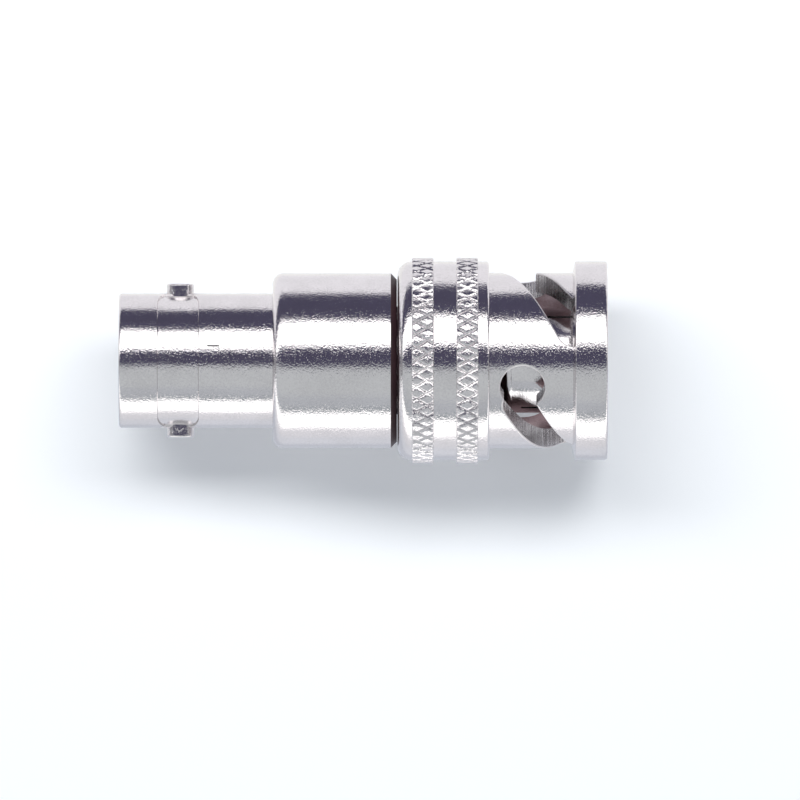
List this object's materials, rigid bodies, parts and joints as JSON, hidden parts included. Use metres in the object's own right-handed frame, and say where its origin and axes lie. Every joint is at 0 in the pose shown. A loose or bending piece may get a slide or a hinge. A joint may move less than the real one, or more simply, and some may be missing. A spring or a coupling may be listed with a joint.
{
  "type": "bnc to triaxial adapter",
  "caption": "Straight nickel-plated coaxial adapter with a bayonet jack at one end and a triaxial plug with a knurled slotted coupling nut at the other.",
  "frame": {"origin": "centre of the jack's mouth, in the plane that the adapter stands on", "axes": "+Z along the adapter's axis from the jack to the triaxial plug, X through the jack's two lugs"},
  "size_m": [0.0148, 0.0148, 0.0351],
  "materials": {
    "nickel": "bright nickel plate with a fine orange-peel grain",
    "ptfe": "waxy white PTFE",
    "gold": "gold plate over brass",
    "silicone": "matte red silicone",
    "spring_steel": "rolled spring strip"
  },
  "bodies": {
    "adapter": {"jack_shell": "nickel", "jack_insulator": "ptfe", "socket_contact": "gold", "rear_spacer": "ptfe", "barrel": "nickel", "plug_body": "nickel", "gasket": "silicone", "guard_insulator": "ptfe", "guard_sleeve": "nickel", "pin_insulator": "ptfe", "center_pin": "gold", "front_wave_washer": "spring_steel", "rear_wave_washer": "spring_steel"},
    "washer": {"thrust_washer": "spring_steel"},
    "nut": {"coupling_nut": "nickel"}
  },
  "joints": [
    {"name": "nut_pull", "type": "slide", "parent": "adapter", "child": "washer", "axis": [0, 0, 1], "range_m": [0, 0.0009], "stiffness_N_per_m": 10000, "springref_m": -0.0005, "deforming": ["front_wave_washer", "rear_wave_washer"]},
    {"name": "nut_turn", "type": "hinge", "parent": "washer", "child": "nut", "pos_m": [0, 0, 0.0208], "axis": [0, 0, 1], "continuous": true}
  ]
}
